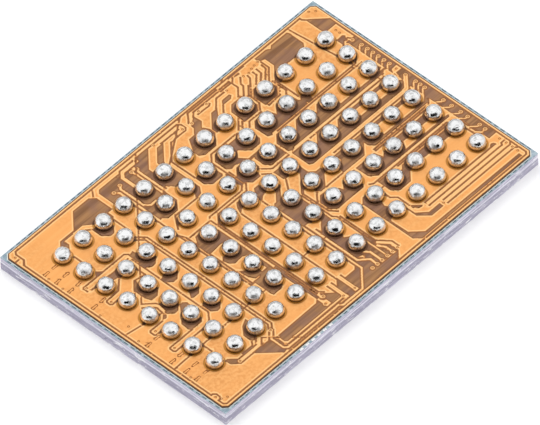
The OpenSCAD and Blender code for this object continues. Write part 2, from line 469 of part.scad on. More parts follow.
// A row of test pads in the south street, their outer halves sawn away
test_pads = 6;
test_pads_x = -1.3;
test_pads_l = test_pads * test_pad_pitch + tile_l;
test_pad_cut = street_w - seal_w - 2 * etch_bias;

module test_pads_2d() {
    for (i = [0 : test_pads - 1])
        translate([
            test_pads_x + (i - (test_pads - 1) / 2) * test_pad_pitch - test_pad_l / 2,
            -die_w / 2
        ])
            square([test_pad_l, test_pad_cut]);
}

module landing_pads_2d() at_vias() square(landing_l, center = true);

// ---- Copper ----

module ring_plates_2d() on_array() for (p = RING_PLATES) polygon(p);

module ring_2d() {
    difference() {
        union() {
            difference() {
                film_2d(ring_inset);
                film_2d(ring_inner);
            }
            ring_plates_2d();
        }
        on_array() for (s = RING_SPLITS) strip_2d(s, gap_p);
    }
}

// Planes, traces and pads as drawn
module layout_2d() {
    difference() {
        union() {
            difference() {
                film_2d(ring_inner + copper_gap);
                offset(delta = copper_gap) ring_plates_2d();
                on_array()
                    for (group = [VOIDS_NW, VOIDS_W, VOIDS_MID, VOIDS_SOUTH, VOIDS_NE, VOIDS_EAST])
                        for (v = group) polygon(v);
            }
            at_balls() circle(d = ball_pad_d, $fn = pad_sides);
        }
        on_array() {
            for (s = SPLITS) strip_2d(s, gap_p);
            for (t = TRACES) strip_2d(t[1], t[0] + 2 * gap_p);
        }
    }
    on_array() {
        for (t = TRACES) strip_2d(t[1], t[0]);
        for (e = ESCAPES) strip_2d(escape(e), escape_p);
    }
    for (v = concat(VIAS, ESCAPE_VIAS))
        translate([array_x + v[0] * ball_pitch, array_y + v[1] * ball_pitch])
            circle(d = via_pad_d, $fn = via_sides);
}

// The layout with gaps and widths under the smallest feature taken out
module copper_2d() {
    offset(delta = min_feature / 2)
        offset(delta = -min_feature)
            offset(delta = min_feature / 2) layout_2d();
}

// ---- Pieces ----

module silicon_die() color(silicon) linear_extrude(die_t) die_2d();

module wiring_layers() {
    color(oxide) {
        translate([0, 0, die_t]) linear_extrude(wiring_t - top_metal_t) die_2d();
        translate([0, 0, top_metal_z])
            linear_extrude(top_metal_t)
                difference() {
                    die_2d();
                    seal_ring_2d();
                    street_tiles_2d();
                    test_pads_2d();
                    landing_pads_2d();
                }
    }
}

module top_metal() {
    color(aluminium)
        translate([0, 0, top_metal_z])
            linear_extrude(top_metal_t) children();
}
module seal_ring() top_metal() seal_ring_2d();
module street_tiles() top_metal() street_tiles_2d();
module test_pads() top_metal() test_pads_2d();
module landing_pads() top_metal() landing_pads_2d();

module lower_film() {
    color(film_amber)
        translate([0, 0, lower_film_z])
            linear_extrude(lower_film_t)
                difference() {
                    film_2d(0);
                    at_vias() circle(d = via_d, $fn = via_sides);
                }
}

module via_posts() {
    color(copper)
        translate([0, 0, lower_film_z])
            linear_extrude(lower_film_t) at_vias() circle(d = via_d, $fn = via_sides);
}

module edge_ring() {
    color(copper)
        translate([0, 0, copper_z])
            linear_extrude(copper_t) offset(delta = -etch_bias) ring_2d();
}

module redistribution_copper() {
    color(copper)
        translate([0, 0, copper_z])
            linear_extrude(copper_t) offset(delta = -etch_bias) copper_2d();
}

// Where the upper film's surface falls between the copper
module recess_2d() {
    offset(delta = etch_bias - film_cover)
        difference() {
            film_2d(-street_w / 2);
            ring_2d();
            copper_2d();
        }
}

// The part of the upper film that fills the gaps in the copper, up to the copper's top
module gap_fill() {
    color(film_amber)
        translate([0, 0, copper_z])
            linear_extrude(copper_t)
                offset(delta = etch_bias)
                    difference() {
                        film_2d(etch_bias);
                        ring_2d();
                        copper_2d();
                    }
}

// The upper film covers the copper and falls wherever no copper lies under it, so its surface
// repeats the copper's pattern. Round openings leave the ball pads bare.
module upper_film() {
    color(film_gold)
        difference() {
            translate([0, 0, copper_top]) linear_extrude(upper_film_t) film_2d(0);
            translate([0, 0, film_low_z]) linear_extrude(2 * film_step) recess_2d();
            at_balls()
                translate([0, 0, copper_top - upper_film_t])
                    cylinder(d = opening_d, h = 3 * upper_film_t, $fn = pad_sides);
            at_vias()
                translate([0, 0, film_top_z - dimple_t])
                    cylinder(d = dimple_d, h = upper_film_t, $fn = via_sides);
            at_slots()
                translate([-slot_l / 2, -dimple_d / 2, film_top_z - dimple_t])
                    cube([slot_l, dimple_d, upper_film_t]);
        }
}

// Under-bump metal of one row: fills the opening down to the copper and lies on the film's edge
module ubm_row(row) {
    color(nickel)
        at_row(row) {
            translate([0, 0, copper_top])
                cylinder(d = opening_d, h = film_top_z - copper_top, $fn = pad_sides);
            translate([0, 0, film_top_z]) cylinder(d = ubm_d, h = ubm_t, $fn = pad_sides);
        }
}

// Reflowed balls of one row, cut flat where they wet the under-bump metal
module ball_row(row) {
    color(solder)
        at_row(row)
            difference() {
                translate([0, 0, ball_z]) sphere(r = ball_r, $fn = 48);
                translate([0, 0, ball_seat_z - ball_r]) cylinder(r = ball_r, h = ball_r, $fn = 48);
            }
}
module ubm_row_a() ubm_row(0);
module ubm_row_b() ubm_row(1);
module ubm_row_c() ubm_row(2);
module ubm_row_d() ubm_row(3);
module ubm_row_e() ubm_row(4);
module ubm_row_f() ubm_row(5);
module ubm_row_g() ubm_row(6);
module ubm_row_h() ubm_row(7);
module ball_row_a() ball_row(0);
module ball_row_b() ball_row(1);
module ball_row_c() ball_row(2);
module ball_row_d() ball_row(3);
module ball_row_e() ball_row(4);
module ball_row_f() ball_row(5);
module ball_row_g() ball_row(6);
module ball_row_h() ball_row(7);

silicon_die();
wiring_layers();
seal_ring();
street_tiles();
test_pads();
landing_pads();
lower_film();
via_posts();
edge_ring();
redistribution_copper();
gap_fill();
upper_film();
ubm_row_a();
ubm_row_b();
ubm_row_c();
ubm_row_d();
ubm_row_e();
ubm_row_f();
ubm_row_g();
ubm_row_h();
ball_row_a();
ball_row_b();
ball_row_c();
ball_row_d();
ball_row_e();
ball_row_f();
ball_row_g();
ball_row_h();
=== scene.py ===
import math

import bpy
import numpy as np
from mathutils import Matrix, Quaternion, Vector, geometry, noise
from mathutils.bvhtree import BVHTree


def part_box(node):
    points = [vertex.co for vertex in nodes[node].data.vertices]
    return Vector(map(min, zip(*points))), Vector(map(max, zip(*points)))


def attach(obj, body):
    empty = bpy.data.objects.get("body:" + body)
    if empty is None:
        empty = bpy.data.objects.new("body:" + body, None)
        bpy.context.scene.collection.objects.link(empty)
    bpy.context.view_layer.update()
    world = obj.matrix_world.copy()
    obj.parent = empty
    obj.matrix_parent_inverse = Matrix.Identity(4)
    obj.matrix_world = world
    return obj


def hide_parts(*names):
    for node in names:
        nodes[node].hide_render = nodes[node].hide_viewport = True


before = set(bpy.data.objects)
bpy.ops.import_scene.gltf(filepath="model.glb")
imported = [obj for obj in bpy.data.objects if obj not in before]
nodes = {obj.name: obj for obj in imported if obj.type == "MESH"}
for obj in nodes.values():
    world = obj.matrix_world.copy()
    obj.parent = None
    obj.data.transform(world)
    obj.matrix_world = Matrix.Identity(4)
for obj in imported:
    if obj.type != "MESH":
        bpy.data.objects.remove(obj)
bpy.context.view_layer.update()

# Lengths are in mm, and become metres as a mesh, a material or an object takes them
MM = 0.001
ZERO = 1e-4             # lengths below this count as none
ROUNDING = 1e-7         # error of a length that was worked out

# The film's relief
SLOPE_OUT = 0.017       # how far the film's slope runs beyond the copper's edge
SLOPE_IN = 0.007        # how far it runs over the copper
RELIEF = 0.0062         # height of the slope
DENT_OUT = 0.005        # how far a dent's rim runs beyond its outline
DENT_IN = 0.009         # how far it runs inwards
DENT_DEPTH = 0.004
CAD_DENT = 0.002        # depth of the same dents in the CAD
ROLL = 0.011            # width over which the film's border rolls down to its wall
ROLL_DROP = 0.0035      # how far it rolls down
THINNEST = 0.0004       # least film over the copper
OPENING_R = 0.107       # hole in the film under each ball

# Bands of the film in which its colour changes
REACH = 0.03            # half width of the band along the copper's edges
BORDER = 0.026          # width of the band of painted shade along the film's border, where it rolls down
FOOT_R = 0.140          # middle radius of the band in which the painted shade and reflection round a ball's foot fade
FOOT_FADE = 0.045       # half width of that band

# Rows of the film's points, by distance inwards from an outline, and their spacing
COPPER_ROWS = (*np.linspace(-SLOPE_OUT, SLOPE_IN, 7), 0.013, 0.021, REACH)
DENT_ROWS = np.linspace(-DENT_OUT, DENT_IN, 5)
BORDER_ROWS = (0.0, 0.003, 0.007, ROLL, 0.0145, 0.02, BORDER)
OPENING_ROWS = (OPENING_R, OPENING_R + 0.008, 0.127, 0.14, 0.155, 0.17, 0.186)
OPENING_SIDES = 32
OPENING_CLEAR = 0.012   # width round an opening that the rows along edges keep out of
BORDER_CLEAR = 0.0005   # width inside the last border row that other points keep out of
ALONG = 0.045           # spacing along the edges of copper and dents
BORDER_STEP = 0.06      # spacing along the border
GRID_STEP = 0.09        # spacing of the grid between the rows
GRID_MARGIN = 0.05
GRID_STRAY = 0.02       # how far the grid's points stray from their places
COPPER_KEEP = 0.93      # points of a row stay where no edge is nearer than this share of the row's distance
DENT_KEEP = 0.9
SHARPEST = 0.3          # keeps the mitre of a sharp corner short
CORNER_DRAW = 0.3       # how far a border row's ends draw in, as a share of its inset
IN_OPENING = 0.985      # share of an opening's radius within which triangles are dropped
SLIVER = 1e-5           # triangles this near the film's outline are dropped

# Solder balls
CRINKLE = 0.0042        # depth of the folds in the solder's skin
BALL_RINGS = 22
BALL_SIDES = 34

# Sawn sides of the die
SAW_DEPTH = 0.0035      # depth of the marks
SAW_LEVELS = 20
SAW_STEP = 0.02         # spacing of the points along a side
LEDGE = 0.62            # share of the height above which the first, wider cut shows
CHIP_TOP = 0.03         # how far down chips reach from the upper rim
CHIP_FOOT = 0.02        # how far up they reach from the lower rim

# Stage
FLOOR_HALF = 600        # half the floor's width
FLOOR_LEVEL = -0.002    # just clear of the die's back, which is at 0
FLOOR_CLEAR = 0.02      # light passes through the floor within this distance of a surface
FLOOR_GLOW = 0.16       # what the camera sees of the floor beyond its own light
WORLD_LIGHT = 0.75
SUN_DISTANCE = 100
CARD_DISTANCE = 120

# Camera, in degrees and mm
FRONT = 45.0            # azimuth of the corner that faces the camera
VIEW_AZIMUTH = FRONT + 0.2018
VIEW_ELEVATION = 48.8986
VIEW_ROLL = -2.3913
VIEW_DISTANCE = 243.018
VIEW_TARGET = (0.0303, 0.0287, 0.0364)


# ---------------------------------------------------------------- reading the frame

def points_of(name):
    """A node's vertices."""
    mesh = nodes[name].data
    co = np.empty(len(mesh.vertices) * 3)
    mesh.vertices.foreach_get("co", co)
    return co.reshape(-1, 3) / MM


def box_of(name):
    """Lowest and highest corner of a node."""
    return [np.array(corner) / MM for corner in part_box(name)]


def faces_at(name, drop=0.0):
    """A node's points, and its upward faces at its highest level or that far below it."""
    co = points_of(name)
    level = co[:, 2].max() - drop
    faces = [
        tuple(face.vertices)
        for face in nodes[name].data.polygons
        if face.normal.z > 0.9 and abs(co[face.vertices[0], 2] - level) < ZERO
    ]
    return co, faces


def open_edges(rings):
    """Directed edges of some rings that no neighbour shares, with the rings on their left."""
    seen = {}
    for ring in rings:
        for a, b in zip(ring, ring[1:] + ring[:1]):
            if (b, a) in seen:
                del seen[(b, a)]
            elif a != b:
                seen[(a, b)] = True
    return list(seen)


def outline(co, faces):
    """Directed edges round a set of faces, as pairs of points in plan."""
    return open_edges([tuple(np.round(co[i, :2], 4)) for i in face] for face in faces)


def loops_of(edges):
    """Chains directed edges into closed loops."""
    follow = {}
    for a, b in edges:
        follow.setdefault(a, []).append(b)
    loops = []
    while follow:
        start = next(iter(follow))
        loop = [start]
        here = start
        while here in follow:
            ahead = follow[here].pop()
            if not follow[here]:
                del follow[here]
            here = ahead
            if here == start:
                break
            loop.append(here)
        if len(loop) > 2:
            loops.append(np.array(loop))
    return loops


def bodies_of(name):
    """Centre and size of each separate body of a node, in the order of their x."""
    co = points_of(name)
    first = {}
    root = [first.setdefault(tuple(np.round(point, 4)), i) for i, point in enumerate(co)]

    def find(i):
        while root[i] != i:
            root[i] = root[root[i]]
            i = root[i]
        return i

    for face in nodes[name].data.polygons:
        start = find(face.vertices[0])
        for i in face.vertices[1:]:
            root[find(i)] = start
    groups = {}
    for i in range(len(co)):
        groups.setdefault(find(i), []).append(i)
    boxes = [(co[group].min(axis=0), co[group].max(axis=0)) for group in groups.values()]
    return sorted([((lo + hi) / 2, hi - lo) for lo, hi in boxes], key=lambda body: body[0][0])


COPPER_FACES = [faces_at(name) for name in ("redistribution_copper", "edge_ring")]
COPPER_EDGES = [edge for co, faces in COPPER_FACES for edge in outline(co, faces)]
COPPER_TOP = points_of("edge_ring")[:, 2].max()
DENT_FACES = faces_at("upper_film", drop=CAD_DENT)
DENT_EDGES = outline(*DENT_FACES)
FILM_LO, FILM_HI = box_of("upper_film")
FILM_TOP = FILM_HI[2]
FILM_OUTLINE = max(loops_of(outline(*faces_at("lower_film"))), key=len)
ROWS = {name: bodies_of(name) for name in sorted(nodes) if name.startswith("ball_row_")}
BALLS = [centre for row in ROWS.values() for centre, size in row]
SOLDER_FOOT, SOLDER_TOP = [corner[2] for corner in box_of("ball_row_a")]
DIE_LO, DIE_HI = box_of("silicon_die")
DIE_TOP = DIE_HI[2]


# ---------------------------------------------------------------- objects and distances

def link_object(name, data):
    obj = bpy.data.objects.new(name, data)
    bpy.context.scene.collection.objects.link(obj)
    return obj


def add_mesh(name, co, faces, materials, normals=None):
    """A smooth object from an n by 3 array of points."""
    mesh = bpy.data.meshes.new(name)
    mesh.from_pydata((co * MM).tolist(), [], faces)
    for material in materials:
        mesh.materials.append(material)
    mesh.polygons.foreach_set("use_smooth", [True] * len(mesh.polygons))
    if normals is not None:
        mesh.normals_split_custom_set_from_vertices(normals.tolist())
    mesh.update()
    return link_object(name, mesh)


def inward(a, b):
    """Unit normal to the left of a side."""
    side = b - a
    return np.array([-side[1], side[0]]) / np.hypot(*side)


def depth_in(polygon, points):
    """Distance of points from the nearest side of a convex polygon, positive inside it."""
    depth = np.full(len(points), np.inf)
    for a, b in zip(polygon, np.roll(polygon, -1, axis=0)):
        depth = np.minimum(depth, (points - a) @ inward(a, b))
    return depth


def ball_distance(points):
    """Distance in plan to the nearest ball's centre."""
    return np.min([np.hypot(points[:, 0] - ball[0], points[:, 1] - ball[1]) for ball in BALLS], axis=0)


def plan_shape(edges, face_sets):
    """Trees of upright walls on the edges and of the faces between them, for distances in plan."""
    co, walls = [], []
    for (ax, ay), (bx, by) in edges:
        k = len(co)
        co += [(ax, ay, -1), (bx, by, -1), (bx, by, 1), (ax, ay, 1)]
        walls.append((k, k + 1, k + 2, k + 3))
    lids = [BVHTree.FromPolygons(points.tolist(), faces) for points, faces in face_sets]
    return BVHTree.FromPolygons(co, walls), lids


def edge_distance(points, shape):
    """Distance in plan to the shape's nearest edge, positive inside it, and the direction inwards."""
    walls, lids = shape
    down = Vector((0, 0, -1))
    dist = np.empty(len(points))
    inwards = np.zeros((len(points), 2))
    for i, (x, y) in enumerate(points):
        near, _, _, d = walls.find_nearest(Vector((x, y, 0)))
        above = Vector((x, y, 1))
        sign = 1 if any(lid.ray_cast(above, down)[0] is not None for lid in lids) else -1
        dist[i] = sign * d
        if d > ROUNDING:
            inwards[i] = ((x - near.x) / d * sign, (y - near.y) / d * sign)
    return dist, inwards


COPPER_SHAPE = plan_shape(COPPER_EDGES, COPPER_FACES)
DENT_SHAPE = plan_shape(DENT_EDGES, [DENT_FACES])


# ---------------------------------------------------------------- the film over the copper

def sides_of(loop):
    """Steps from each point of a closed loop to the next, and their lengths."""
    step = np.roll(loop, -1, axis=0) - loop
    return step, np.hypot(step[:, 0], step[:, 1])


def rows_along(edges, offsets, shape, keep):
    """Points in rows beside edges, but for those that another edge comes too near to."""
    found = []
    for loop in loops_of(edges):
        loop = loop[sides_of(loop)[1] > ZERO]
        if len(loop) < 3:
            continue
        step, length = sides_of(loop)
        normal = np.column_stack([-step[:, 1], step[:, 0]]) / length[:, None]
        before = np.roll(normal, 1, axis=0)
        mitre = (normal + before) / np.maximum(1 + (normal * before).sum(axis=1), SHARPEST)[:, None]
        for k in range(len(loop)):
            parts = max(1, int(length[k] / ALONG))
            sites = [(loop[k], mitre[k])]
            sites += [(loop[k] + step[k] * (t / parts), normal[k]) for t in range(1, parts)]
            found += [(*(place + way * offset), abs(offset)) for place, way in sites for offset in offsets]
    found = np.array(found)
    dist, _ = edge_distance(found[:, :2], shape)
    return found[np.abs(dist) > found[:, 2] * keep - ZERO, :2]


def grid_points():
    """A loose grid over the whole film."""
    xs = np.arange(FILM_LO[0] + GRID_MARGIN, FILM_HI[0], GRID_STEP)
    ys = np.arange(FILM_LO[1] + GRID_MARGIN, FILM_HI[1], GRID_STEP)
    return [(x + GRID_STRAY * math.sin(7 * i + 3 * j), y + GRID_STRAY * math.cos(5 * i + 11 * j))
            for i, x in enumerate(xs) for j, y in enumerate(ys)]


def opening_points():
    """Rings round each ball."""
    turns = [2 * math.pi * k / OPENING_SIDES for k in range(OPENING_SIDES)]
    return [(ball[0] + r * math.cos(turn), ball[1] + r * math.sin(turn))
            for ball in BALLS for r in OPENING_ROWS for turn in turns]


def border_points():
    """Rows inside the film's outline, whose ends draw in at the corners."""
    found = []
    for inset in BORDER_ROWS:
        for a, b in zip(FILM_OUTLINE, np.roll(FILM_OUTLINE, -1, axis=0)):
            size = np.hypot(*(b - a))
            parts = max(1, int(size / BORDER_STEP))
            end = CORNER_DRAW * inset / size
            shares = [min(max(t / parts, end), 1 - end) for t in range(parts + 1)]
            found += [a + (b - a) * share + inward(a, b) * inset for share in shares]
    found = np.array(found)
    return found[depth_in(FILM_OUTLINE, found) > -ROUNDING]


def film_plan():
    """The film's points in plan, dense where it bends, and the triangles between them."""
    points = np.vstack([
        rows_along(COPPER_EDGES, COPPER_ROWS, COPPER_SHAPE, COPPER_KEEP),
        rows_along(DENT_EDGES, DENT_ROWS, DENT_SHAPE, DENT_KEEP),
        grid_points(),
    ])
    points = points[ball_distance(points) > OPENING_R + OPENING_CLEAR]
    points = np.vstack([points, opening_points()])
    points = points[depth_in(FILM_OUTLINE, points) > BORDER + BORDER_CLEAR]
    points = np.vstack([points, border_points()])
    result = geometry.delaunay_2d_cdt([Vector(point) for point in points.tolist()], [], [], 0, 2 * ZERO)
    plan = np.array([tuple(point) for point in result[0]])
    tris = np.array(result[2])
    middle = plan[tris].mean(axis=1)
    keep = (ball_distance(middle) > OPENING_R * IN_OPENING) & (depth_in(FILM_OUTLINE, middle) > SLIVER)
    used, tris = np.unique(tris[keep], return_inverse=True)
    return plan[used], tris.reshape(-1, 3)


def smooth_slope(dist, inwards, low, high, height):
    """Rise and gradient of a slope of that height between two distances from an edge."""
    t = np.clip((dist - low) / (high - low), 0, 1)
    rise = height * (t * t * (3 - 2 * t))
    steep = height * (6 * t * (1 - t)) / (high - low)
    return rise, inwards * steep[:, None]


def film_relief(plan):
    """Heights and normals of the film's points, and the layers that its material reads."""
    copper, over = edge_distance(plan, COPPER_SHAPE)
    dent, within = edge_distance(plan, DENT_SHAPE)
    depth = depth_in(FILM_OUTLINE, plan)
    rise, up = smooth_slope(copper, over, -SLOPE_OUT, SLOPE_IN, RELIEF)
    fall, down = smooth_slope(dent, within, -DENT_OUT, DENT_IN, DENT_DEPTH)
    roll = ROLL_DROP * (1 - np.clip(depth / ROLL, 0, 1)) ** 2
    z = np.minimum(FILM_TOP - RELIEF + rise - fall, FILM_TOP - roll)
    z = np.clip(z, COPPER_TOP + THINNEST, FILM_TOP)
    normals = np.column_stack([down - up, np.ones(len(plan))])
    normals /= np.linalg.norm(normals, axis=1)[:, None]
    layers = {
        "reach": copper / REACH,
        "dent": dent / DENT_IN,
        "border": depth / BORDER,
        "foot": (ball_distance(plan) - FOOT_R) / FOOT_FADE,
    }
    return z, normals, layers


def make_film(material, wall_material):
    plan, tris = film_plan()
    z, normals, layers = film_relief(plan)
    tris = [tuple(tri) for tri in tris.tolist()]
    # Walls go down to the copper's top from the border and from each opening
    rim = open_edges(tris)
    rim_points = list(dict.fromkeys(i for edge in rim for i in edge))
    foot = {i: len(plan) + k for k, i in enumerate(rim_points)}
    walls = [(b, a, foot[a], foot[b]) for a, b in rim]
    feet = np.column_stack([plan[rim_points], np.full(len(rim_points), COPPER_TOP)])
    co = np.vstack([np.column_stack([plan, z]), feet])
    normals = np.vstack([normals, normals[rim_points]])
    film = add_mesh("film", co, tris + walls, [material, wall_material], normals)
    film.data.polygons.foreach_set("material_index", [0] * len(tris) + [1] * len(walls))
    for name, values in layers.items():
        values = np.concatenate([np.clip(values, -1, 1), np.full(len(feet), -1.0)])
        layer = film.data.attributes.new(name, "FLOAT", "POINT")
        layer.data.foreach_set("value", values.astype(np.float32))
    return film


# ---------------------------------------------------------------- solder balls

def fold_depth(way, shift):
    """How deep the skin folds in that direction from the middle, with broad, middling and fine folds."""
    fold = noise.noise(way * 1.6 + shift) * 0.8
    fold += abs(noise.noise(way * 3.2 + shift)) * 0.9
    fold += noise.noise(way * 6.5 + shift) * 0.22
    return CRINKLE * min(1.5, max(0.0, 0.45 + fold))


def ball_shape(centre, size, seed):
    """Points and faces of one ball: a sphere with a crinkled skin, cut flat at its seat."""
    radius = size[0] / 2
    middle = centre[2] + size[2] / 2 - radius
    foot = centre[2] - size[2] / 2
    low = math.asin((foot - middle) / radius)
    shift = Vector((seed * 3.71, seed * 1.93, seed * 5.17))
    co = []
    for j in range(BALL_RINGS + 1):
        latitude = low + (math.pi / 2 - low) * j / BALL_RINGS
        flat = math.cos(latitude)
        calm = min(1.0, j / 3)      # smooth at the seat
        for k in range(BALL_SIDES if j < BALL_RINGS else 1):
            turn = 2 * math.pi * (k + 0.5 * (j % 2)) / BALL_SIDES
            way = Vector((flat * math.cos(turn), flat * math.sin(turn), math.sin(latitude)))
            place = way * (radius - calm * fold_depth(way, shift))
            co.append((centre[0] + place.x, centre[1] + place.y, max(foot, middle + place.z)))
    faces = []
    for j in range(BALL_RINGS - 1):
        for k in range(BALL_SIDES):
            a, b = j * BALL_SIDES + k, j * BALL_SIDES + (k + 1) % BALL_SIDES
            c, d = a + BALL_SIDES, b + BALL_SIDES
            faces += [(a, b, d), (a, d, c)] if j % 2 else [(a, b, c), (b, d, c)]
    tip = BALL_RINGS * BALL_SIDES
    last = tip - BALL_SIDES
    faces += [(last + k, last + (k + 1) % BALL_SIDES, tip) for k in range(BALL_SIDES)]
    faces.append(tuple(range(BALL_SIDES))[::-1])
    return co, faces


def make_balls(name, row, material):
    co, faces = [], []
    letter = name[-1]
    for k, (centre, size) in enumerate(row):
        ball_co, ball_faces = ball_shape(centre, size, k + 17 * ord(letter))
        faces += [tuple(i + len(co) for i in face) for face in ball_faces]
        co += ball_co
    return add_mesh("solder_" + letter, np.array(co), faces, [material])


# ---------------------------------------------------------------- the sawn die

def saw_marks(x, y, z):
    """Depth of the saw's marks at a place: streaks, grit, chipped rims and the ledge of the wider cut."""
    streak = noise.noise(Vector((x * 0.9, y * 0.9, z * 60))) * 0.5 + 0.5
    grit = abs(noise.noise(Vector((x * 22, y * 22, z * 90))))
    chip = 0.0
    if z > DIE_TOP - CHIP_TOP or z < CHIP_FOOT:
        near = 1 - min(DIE_TOP - z, z) / CHIP_TOP
        rim = Vector((x * 7, y * 7, 3.0 if z < CHIP_FOOT else 8.0))
        chip = max(0, noise.noise(rim) - 0.15) * near * 2.2
    ledge = 0.8 if z > LEDGE * DIE_TOP else 0.0
    return SAW_DEPTH * (0.45 * streak + 0.6 * grit + chip + ledge)


def make_die(material, back_material):
    lo, hi = DIE_LO, DIE_HI
    corners = np.array([(lo[0], lo[1]), (hi[0], lo[1]), (hi[0], hi[1]), (lo[0], hi[1])])
    places, ways = [], []
    for a, b in zip(corners, np.roll(corners, -1, axis=0)):
        parts = int(np.hypot(*(b - a)) / SAW_STEP)
        places += [a + (b - a) * t / parts for t in range(parts)]
        ways += [inward(a, b)] * parts
    ways = np.array(ways)
    before = np.roll(ways, 1, axis=0)
    at_corner = np.abs(ways - before).sum(axis=1) > ZERO
    ways[at_corner] += before[at_corner]
    # Levels lie closer together towards both rims
    levels = DIE_TOP * (0.5 - 0.5 * np.cos(np.linspace(0, math.pi, SAW_LEVELS)))
    co = []
    for z in levels.tolist():
        for (x, y), way in zip(places, ways):
            back = saw_marks(x, y, z)
            co.append((x + way[0] * back, y + way[1] * back, z))
    count = len(places)
    sides = []
    for j in range(SAW_LEVELS - 1):
        for i in range(count):
            a, b = j * count + i, j * count + (i + 1) % count
            sides.append((a, b, b + count, a + count))
    bottom = tuple(range(count))[::-1]
    top = tuple(range(len(co) - count, len(co)))
    die = add_mesh("die", np.array(co), [*sides, bottom, top], [material, back_material])
    die.data.polygons[len(sides)].material_index = 1
    for face in die.data.polygons[len(sides):]:
        face.use_smooth = False
    return die


# ---------------------------------------------------------------- materials

class Nodes:
    """A material's node tree, with short ways to add and join nodes."""

    def __init__(self, name):
        self.material = bpy.data.materials.new(name)
        self.material.use_nodes = True
        self.tree = self.material.node_tree
        self.shader = self.tree.nodes["Principled BSDF"]
        self.place = self.add("ShaderNodeTexCoord").outputs["Object"]

    def add(self, kind, **values):
        node = self.tree.nodes.new(kind)
        for name, value in values.items():
            setattr(node, name, value)
        return node

    def feed(self, socket, value):
        """Joins an output to a socket, or sets the socket's own number or colour."""
        if isinstance(value, bpy.types.NodeSocket):
            self.tree.links.new(value, socket)
        elif isinstance(value, tuple):
            socket.default_value = (*value, 1)
        else:
            socket.default_value = value

    def to(self, value, socket):
        self.feed(self.shader.inputs[socket], value)

    def noise(self, size, stretch=(1, 1, 1), detail=4.0, rough=0.55):
        """Noise with features of that size, stretched along the axes."""
        place = self.add("ShaderNodeMapping")
        self.feed(place.inputs["Vector"], self.place)
        place.inputs["Scale"].default_value = [1 / (size * MM * s) for s in stretch]
        node = self.add("ShaderNodeTexNoise")
        self.feed(node.inputs["Vector"], place.outputs["Vector"])
        self.feed(node.inputs["Scale"], 1.0)
        self.feed(node.inputs["Detail"], detail)
        self.feed(node.inputs["Roughness"], rough)
        return node.outputs["Fac"]

    def layer(self, name):
        """One of the film's layers, from 0 to 1."""
        stored = self.add("ShaderNodeAttribute", attribute_name=name).outputs["Fac"]
        return self.math("MULTIPLY_ADD", stored, 0.5, 0.5)

    def level(self, low, high):
        """Height, as 0 at one level and 1 at another."""
        axes = self.add("ShaderNodeSeparateXYZ")
        self.feed(axes.inputs["Vector"], self.place)
        return self.math("MULTIPLY_ADD", axes.outputs["Z"], 1 / ((high - low) * MM), -low / (high - low))

    def ramp(self, source, stops, smooth=True):
        """Greys from pairs of a place and a grey."""
        node = self.add("ShaderNodeValToRGB")
        ramp = node.color_ramp
        ramp.interpolation = "EASE" if smooth else "LINEAR"
        while len(ramp.elements) < len(stops):
            ramp.elements.new(0.5)
        for element, (at, grey) in zip(ramp.elements, stops):
            element.position = at
            element.color = (grey, grey, grey, 1)
        self.feed(node.inputs["Fac"], source)
        return node.outputs["Color"]

    def mix(self, share, a, b):
        node = self.add("ShaderNodeMix", data_type="RGBA")
        for name, value in (("Factor", share), ("A", a), ("B", b)):
            self.feed(node.inputs[name], value)
        return node.outputs["Result"]

    def math(self, kind, a, b, c=0.0):
        node = self.add("ShaderNodeMath", operation=kind)
        for socket, value in zip(node.inputs, (a, b, c)):
            self.feed(socket, value)
        return node.outputs["Value"]

    def bump(self, height, depth):
        node = self.add("ShaderNodeBump")
        self.feed(node.inputs["Distance"], depth * MM)
        self.feed(node.inputs["Height"], height)
        self.to(node.outputs["Normal"], "Normal")


